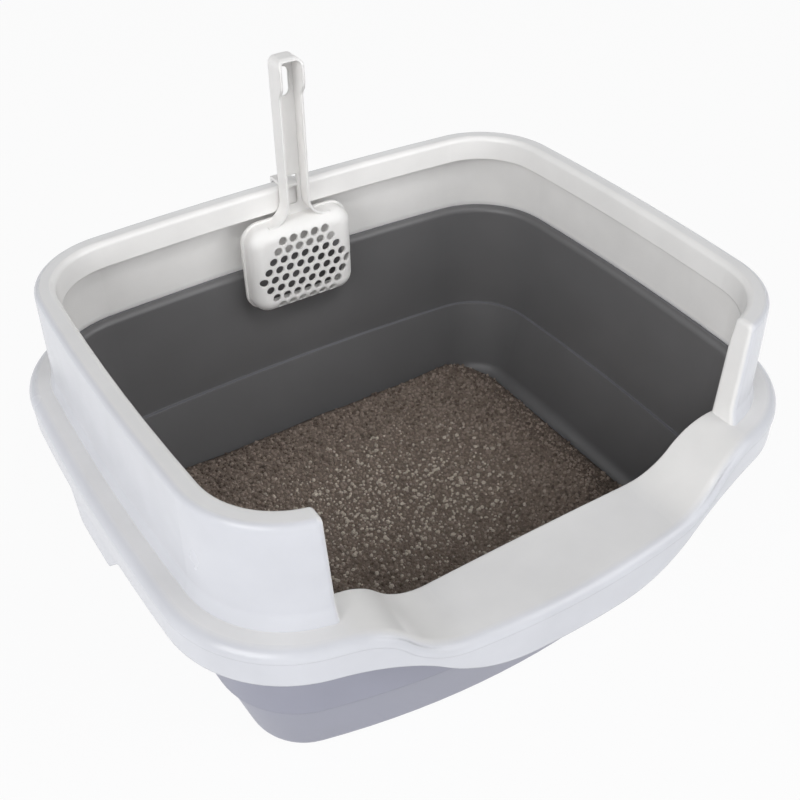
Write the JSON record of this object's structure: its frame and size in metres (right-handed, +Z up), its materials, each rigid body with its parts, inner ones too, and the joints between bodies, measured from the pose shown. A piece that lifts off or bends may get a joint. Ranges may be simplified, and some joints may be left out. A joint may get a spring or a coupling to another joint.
{
  "type": "litter tray",
  "caption": "Deep litter tray: dark pan holding litter, lift-off white surround with a raised rolled rim and a low front entry, and a perforated scoop hooked over the back rim.",
  "frame": {"origin": "centre of the bounding box's bottom, on the floor under the middle of the tray", "axes": "+X to the right seen from the entry, along the tray's longest side; +Y from the low entry to the back; +Z up"},
  "size_m": [0.5112, 0.441, 0.364],
  "materials": {
    "pan_plastic": "satin dark grey moulded plastic",
    "surround_plastic": "smooth white moulded plastic",
    "scoop_plastic": "satin off-white moulded plastic",
    "litter": "loose dull mineral granules"
  },
  "bodies": {
    "tray": {"base_pan": "pan_plastic", "litter_bed": "litter"},
    "surround": {"rim_surround": "surround_plastic"},
    "scoop": {"litter_scoop": "scoop_plastic"}
  },
  "joints": [
    {"name": "surround_lift", "type": "slide", "parent": "tray", "child": "surround", "axis": [0, 0, 1], "range_m": [0, 0.12]},
    {"name": "scoop_lift", "type": "slide", "parent": "surround", "child": "scoop", "axis": [0, 0, 1], "range_m": [0, 0.15]}
  ]
}
